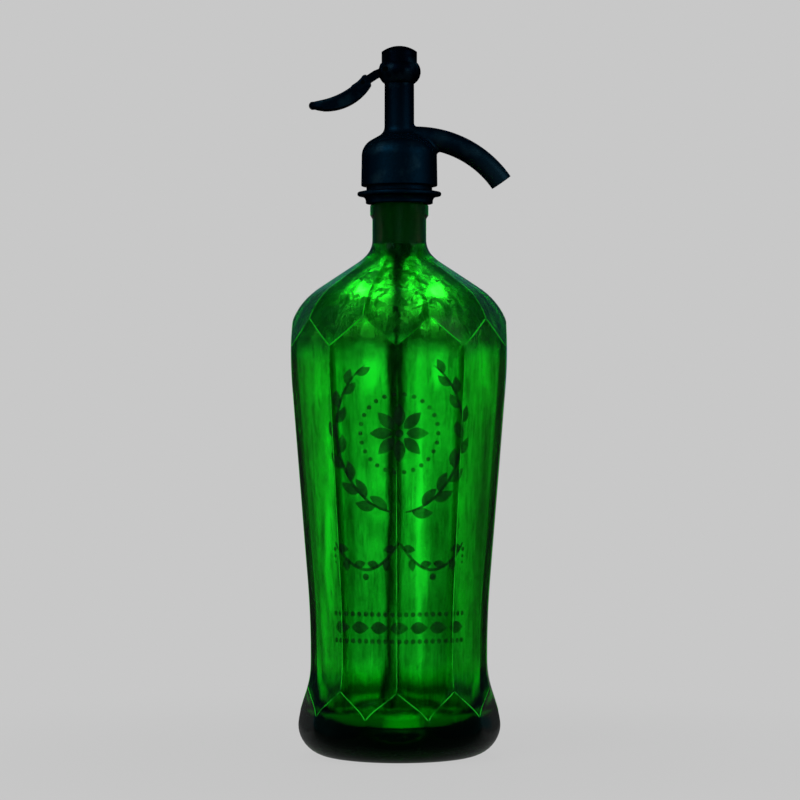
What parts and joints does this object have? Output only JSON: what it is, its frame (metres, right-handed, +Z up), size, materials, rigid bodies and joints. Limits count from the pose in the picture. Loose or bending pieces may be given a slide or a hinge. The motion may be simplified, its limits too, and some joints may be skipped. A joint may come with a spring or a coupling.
{
  "type": "soda siphon bottle",
  "caption": "Waisted soda siphon of green panelled glass with a dark cast head, thumb lever that lifts a sprung valve, curved spout and dip tube.",
  "frame": {"origin": "on the bottle's axis, at the plane of the ring it stands on", "axes": "+Z up the bottle's axis, +X towards the spout, -X towards the thumb lever, -Y towards the front"},
  "size_m": [0.0959, 0.0978, 0.31],
  "materials": {
    "green_glass": "polished mould-blown emerald glass, etched in places",
    "tube_glass": "drawn tube, polished",
    "dark_pewter": "cast tin alloy, blackened by age, satin",
    "brass": "turned, dulled",
    "black_rubber": "matte",
    "cup_leather": "greased",
    "spring_steel": "drawn wire"
  },
  "bodies": {
    "bottle": {"glass_bottle": "green_glass", "neck_collar": "dark_pewter", "split_ring_front": "brass", "split_ring_back": "brass", "neck_washer": "black_rubber", "siphon_head": "dark_pewter", "top_cap": "dark_pewter", "lever_pivot_pin": "brass", "valve_seat": "brass", "plunger_spring": "spring_steel", "tube_holder": "brass", "tube_boot": "black_rubber", "dip_tube": "tube_glass"},
    "lever": {"lever_arm": "dark_pewter", "lever_thumb_piece": "dark_pewter", "thumb_rivet": "brass"},
    "valve": {"plunger": "brass", "cup_washer": "cup_leather", "valve_disc": "black_rubber", "valve_screw": "brass"}
  },
  "joints": [
    {"name": "lever_pivot", "type": "hinge", "parent": "bottle", "child": "lever", "pos_m": [-0.006, 0, 0.2992], "axis": [0, -1, 0], "range_deg": [0, 18], "stiffness_Nm_per_rad": 0.3, "springref_deg": -34.38},
    {"name": "plunger_lift", "type": "slide", "parent": "bottle", "child": "valve", "axis": [0, 0, 1], "range_m": [0, 0.0019], "deforming": ["plunger_spring"]}
  ],
  "couplings": [
    {"joint": "plunger_lift", "follows": "lever_pivot", "m_per_rad": 0.006}
  ]
}
